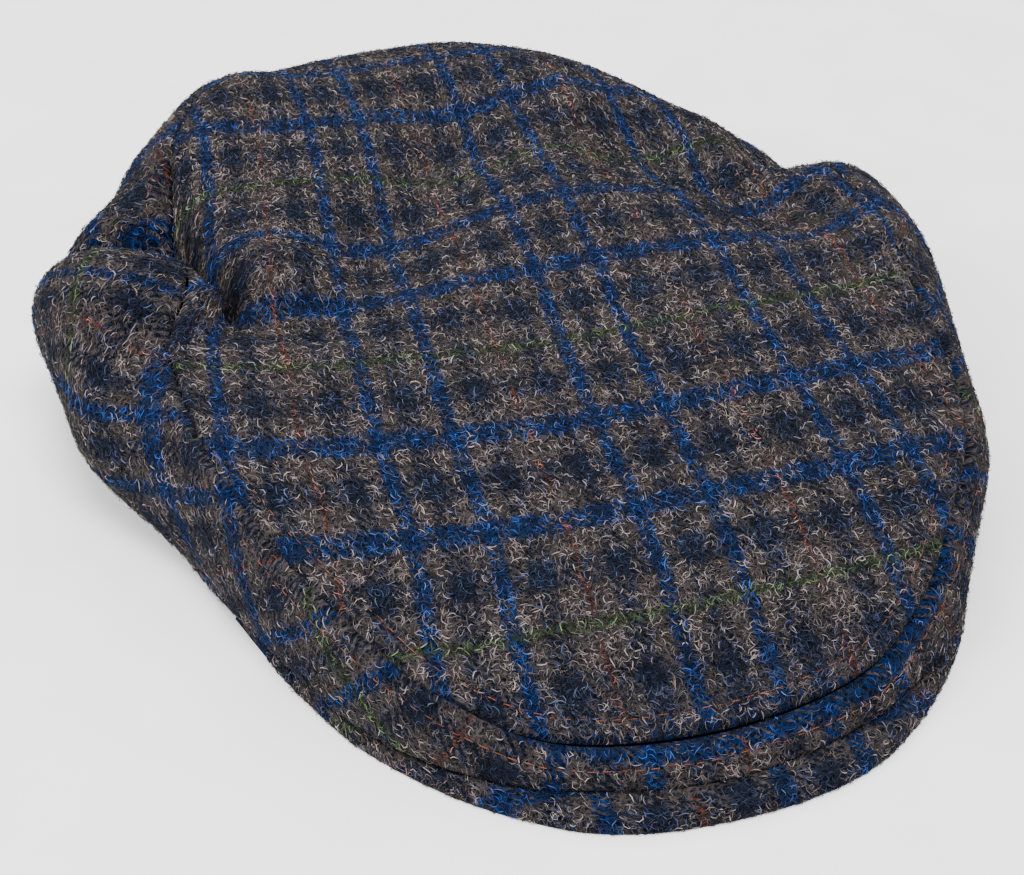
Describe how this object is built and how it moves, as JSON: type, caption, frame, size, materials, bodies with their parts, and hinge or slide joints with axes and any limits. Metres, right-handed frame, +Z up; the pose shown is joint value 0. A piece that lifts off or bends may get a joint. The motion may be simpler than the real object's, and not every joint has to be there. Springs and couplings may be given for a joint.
{
  "type": "flat cap",
  "caption": "Soft tweed flat cap with a one-piece sloping top, a wrapped side band and a short stiff peak, hollow and open for the head.",
  "frame": {"origin": "middle of the cap's footprint on the surface it lies on", "axes": "+Z up, -Y towards the peak, +X towards the wearer's left"},
  "size_m": [0.2292, 0.276, 0.0612],
  "materials": {
    "tweed_top": "matt brushed wool tweed, plaid",
    "tweed_band": "matt brushed wool tweed, plaid",
    "tweed_peak": "matt brushed wool tweed, plaid"
  },
  "bodies": {
    "root": {"crown_top": "tweed_top", "side_band": "tweed_band", "peak": "tweed_peak"}
  },
  "joints": []
}
